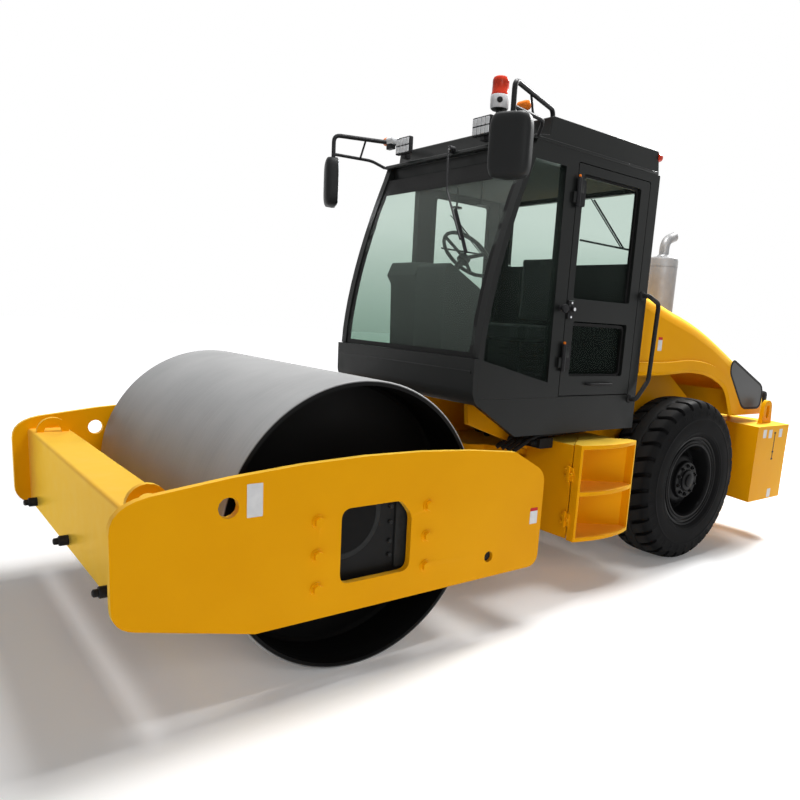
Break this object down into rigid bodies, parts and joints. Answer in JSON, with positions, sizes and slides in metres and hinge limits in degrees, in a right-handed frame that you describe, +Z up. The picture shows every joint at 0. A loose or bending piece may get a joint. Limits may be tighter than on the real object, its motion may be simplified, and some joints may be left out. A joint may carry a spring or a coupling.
{
  "type": "single-drum road roller",
  "caption": "Articulated single-drum soil compactor with a glazed cab, rubber drive tyres, tilting hood, swinging steps and doors.",
  "frame": {"origin": "on the ground under the middle of the machine's length and width", "axes": "+X forward to the drum, +Y to the machine's left, +Z up"},
  "size_m": [6.39, 2.442, 3.545],
  "materials": {
    "yellow_paint": "semi-gloss machine yellow",
    "charcoal_paint": "satin charcoal grey",
    "black_paint": "satin black",
    "drum_steel": "satin rolled steel",
    "chromed_rod": "hard chrome",
    "tyre_rubber": "matte black rubber",
    "tinted_glass": "green-tinted safety glass",
    "charcoal_plastic": "textured black plastic",
    "cab_plastic": "textured dark plastic",
    "seat_fabric": "woven dark seat cloth",
    "muffler_metal": "silver heat-resistant coating",
    "beacon_red": "red lens over a white base",
    "lamp_lens": "clear and amber lamp lenses",
    "blank_label": "blank white sticker"
  },
  "bodies": {
    "root": {"rear_frame": "yellow_paint", "ballast": "yellow_paint", "rear_axle": "black_paint", "engine_block": "black_paint", "cab_tub": "charcoal_paint", "cab_rear_panel": "charcoal_paint", "cab_roof": "charcoal_paint", "windscreen": "tinted_glass", "rear_glass": "tinted_glass", "console": "cab_plastic", "steering_column": "cab_plastic", "seat_base": "black_paint", "seat_cushion": "seat_fabric", "seat_back": "seat_fabric", "beacon": "beacon_red", "tank_left": "yellow_paint", "cab_side_left": "charcoal_paint", "quarter_glass_left": "tinted_glass", "mirror_left": "charcoal_plastic", "handrail_left": "black_paint", "tank_right": "yellow_paint", "cab_side_right": "charcoal_paint", "quarter_glass_right": "tinted_glass", "mirror_right": "charcoal_plastic", "handrail_right": "black_paint"},
    "yoke": {"yoke": "yellow_paint"},
    "front_frame": {"front_beam": "yellow_paint", "rear_crossbeam": "yellow_paint", "side_plate_left": "yellow_paint", "drum_carrier_left": "black_paint", "side_plate_right": "yellow_paint", "drum_carrier_right": "black_paint"},
    "drum": {"drum": "drum_steel"},
    "hood": {"hood": "yellow_paint", "muffler": "muffler_metal"},
    "wheel_left": {"tyre_left": "tyre_rubber", "rim_left": "black_paint"},
    "door_left": {"door_left": "charcoal_paint", "door_glass_left": "tinted_glass"},
    "step_door_left": {"step_door_left": "yellow_paint"},
    "steering_barrel_left": {"steering_barrel_left": "yellow_paint"},
    "steering_rod_left": {"steering_rod_left": "chromed_rod"},
    "wheel_right": {"tyre_right": "tyre_rubber", "rim_right": "black_paint"},
    "door_right": {"door_right": "charcoal_paint", "door_glass_right": "tinted_glass"},
    "step_door_right": {"step_door_right": "yellow_paint"},
    "steering_barrel_right": {"steering_barrel_right": "yellow_paint"},
    "steering_rod_right": {"steering_rod_right": "chromed_rod"}
  },
  "joints": [
    {"name": "steer", "type": "hinge", "parent": "root", "child": "yoke", "pos_m": [0.175, 0, 0.75], "axis": [0, 0, 1], "range_deg": [-35, 35]},
    {"name": "oscillation", "type": "hinge", "parent": "yoke", "child": "front_frame", "pos_m": [0.645, 0, 0.75], "axis": [1, 0, 0], "range_deg": [-10, 10]},
    {"name": "drum_spin", "type": "hinge", "parent": "front_frame", "child": "drum", "pos_m": [1.885, 0, 0.8], "axis": [0, 1, 0], "continuous": true},
    {"name": "hood_lift", "type": "hinge", "parent": "root", "child": "hood", "pos_m": [-3.121, 0, 1.245], "axis": [0, -1, 0], "range_deg": [0, 50]},
    {"name": "wheel_spin_left", "type": "hinge", "parent": "root", "child": "wheel_left", "pos_m": [-1.509, 0.775, 0.7], "axis": [0, 1, 0], "continuous": true},
    {"name": "door_swing_left", "type": "hinge", "parent": "root", "child": "door_left", "pos_m": [0.136, 0.85, 2.2], "axis": [0, 0, -1], "range_deg": [0, 95]},
    {"name": "step_swing_left", "type": "hinge", "parent": "root", "child": "step_door_left", "pos_m": [-0.601, 0.895, 0.75], "axis": [0, 0, 1], "range_deg": [0, 90]},
    {"name": "steering_barrel_swing_left", "type": "hinge", "parent": "root", "child": "steering_barrel_left", "pos_m": [-0.33, 0.3, 0.64], "axis": [0, 0, 1], "range_deg": [-10, 10]},
    {"name": "steering_rod_slide_left", "type": "slide", "parent": "steering_barrel_left", "child": "steering_rod_left", "axis": [0.9985, -0.0551, 0], "range_m": [-0.17, 0.17]},
    {"name": "wheel_spin_right", "type": "hinge", "parent": "root", "child": "wheel_right", "pos_m": [-1.509, -0.775, 0.7], "axis": [0, 1, 0], "continuous": true},
    {"name": "door_swing_right", "type": "hinge", "parent": "root", "child": "door_right", "pos_m": [0.136, -0.85, 2.2], "axis": [0, 0, 1], "range_deg": [0, 95]},
    {"name": "step_swing_right", "type": "hinge", "parent": "root", "child": "step_door_right", "pos_m": [-0.601, -0.895, 0.75], "axis": [0, 0, -1], "range_deg": [0, 90]},
    {"name": "steering_barrel_swing_right", "type": "hinge", "parent": "root", "child": "steering_barrel_right", "pos_m": [-0.33, -0.3, 0.64], "axis": [0, 0, 1], "range_deg": [-10, 10]},
    {"name": "steering_rod_slide_right", "type": "slide", "parent": "steering_barrel_right", "child": "steering_rod_right", "axis": [0.9985, 0.0551, 0], "range_m": [-0.17, 0.17]}
  ],
  "couplings": [
    {"joint": "steering_barrel_swing_left", "follows": "steer", "ratio": 0.264},
    {"joint": "steering_rod_slide_left", "follows": "steer", "m_per_rad": -0.2649},
    {"joint": "steering_barrel_swing_right", "follows": "steer", "ratio": 0.264},
    {"joint": "steering_rod_slide_right", "follows": "steer", "m_per_rad": 0.2649}
  ]
}
